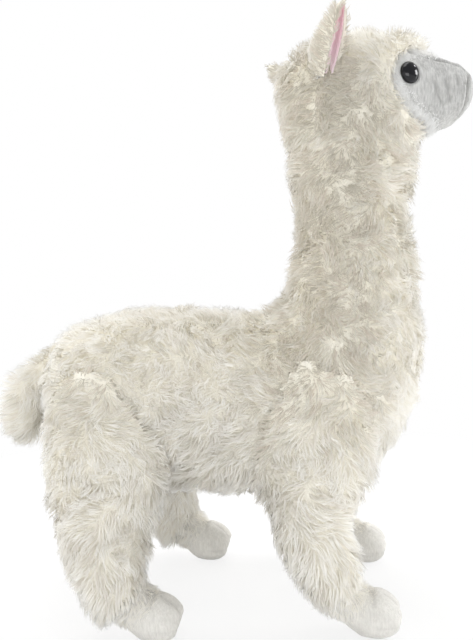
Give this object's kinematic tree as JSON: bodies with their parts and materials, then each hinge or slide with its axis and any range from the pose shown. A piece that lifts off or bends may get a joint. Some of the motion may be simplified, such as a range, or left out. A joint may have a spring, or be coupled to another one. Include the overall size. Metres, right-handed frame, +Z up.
{
  "type": "plush alpaca",
  "caption": "Standing stuffed alpaca toy with a long upright neck, shaggy cream fur, a smooth short-piled face and feet, pink ear linings and glossy black eyes.",
  "frame": {"origin": "on the floor under the middle of the toy's bounding box", "axes": "+X towards the nose, +Y to the toy's left side, +Z up out of the floor"},
  "size_m": [0.3988, 0.2282, 0.4759],
  "materials": {
    "fur": "long curly plush pile, matt cream white",
    "velboa": "short brushed pile, matt cool white",
    "lining": "short brushed pile, dusty pink",
    "eye": "polished black",
    "washer": "moulded"
  },
  "bodies": {
    "root": {"body": "fur", "front_left_leg": "fur", "front_right_leg": "fur", "rear_left_leg": "fur", "rear_right_leg": "fur", "tail": "fur", "left_ear_back": "fur", "right_ear_back": "fur", "muzzle": "velboa", "front_left_foot": "velboa", "front_right_foot": "velboa", "rear_left_foot": "velboa", "rear_right_foot": "velboa", "left_ear_lining": "lining", "right_ear_lining": "lining", "left_eye": "eye", "right_eye": "eye", "left_eye_washer": "washer", "right_eye_washer": "washer"}
  },
  "joints": []
}
